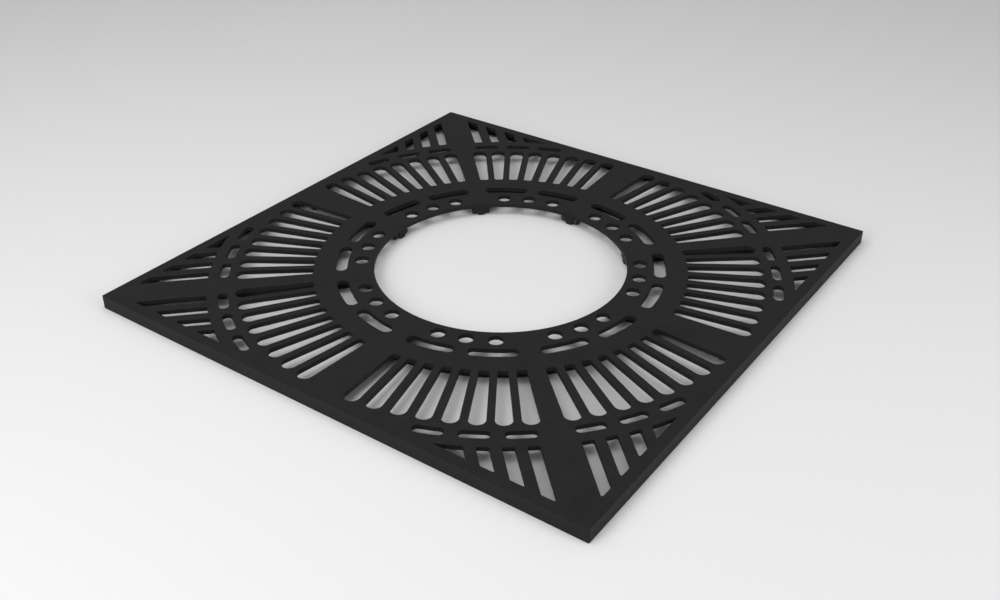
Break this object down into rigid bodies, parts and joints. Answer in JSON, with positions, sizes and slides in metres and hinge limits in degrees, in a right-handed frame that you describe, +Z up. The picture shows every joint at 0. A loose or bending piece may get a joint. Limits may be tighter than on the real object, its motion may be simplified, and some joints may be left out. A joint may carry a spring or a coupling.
{
  "type": "tree grate",
  "caption": "Square cast iron tree grate in bolted quarter castings, with a round trunk opening, radiating drainage slots, round holes, curved slots and slotted corners.",
  "frame": {"origin": "middle of the grate's underside, level with the surface that it rests on", "axes": "+Z up through the tread face; X and Y square to the sides, along the seams between the quarters"},
  "size_m": [1.2, 1.2, 0.03],
  "materials": {
    "casting": "smooth matt black coating on sand-cast iron",
    "fastener": "steel, coated black with the castings"
  },
  "bodies": {
    "root": {"quarter_casting_1": "casting", "quarter_casting_2": "casting", "quarter_casting_3": "casting", "quarter_casting_4": "casting", "inner_bolt_1": "fastener", "inner_bolt_2": "fastener", "inner_bolt_3": "fastener", "inner_bolt_4": "fastener", "inner_head_washer_1": "fastener", "inner_head_washer_2": "fastener", "inner_head_washer_3": "fastener", "inner_head_washer_4": "fastener", "inner_nut_washer_1": "fastener", "inner_nut_washer_2": "fastener", "inner_nut_washer_3": "fastener", "inner_nut_washer_4": "fastener", "inner_nut_1": "fastener", "inner_nut_2": "fastener", "inner_nut_3": "fastener", "inner_nut_4": "fastener", "outer_bolt_1": "fastener", "outer_bolt_2": "fastener", "outer_bolt_3": "fastener", "outer_bolt_4": "fastener", "outer_head_washer_1": "fastener", "outer_head_washer_2": "fastener", "outer_head_washer_3": "fastener", "outer_head_washer_4": "fastener", "outer_nut_washer_1": "fastener", "outer_nut_washer_2": "fastener", "outer_nut_washer_3": "fastener", "outer_nut_washer_4": "fastener", "outer_nut_1": "fastener", "outer_nut_2": "fastener", "outer_nut_3": "fastener", "outer_nut_4": "fastener"}
  },
  "joints": []
}
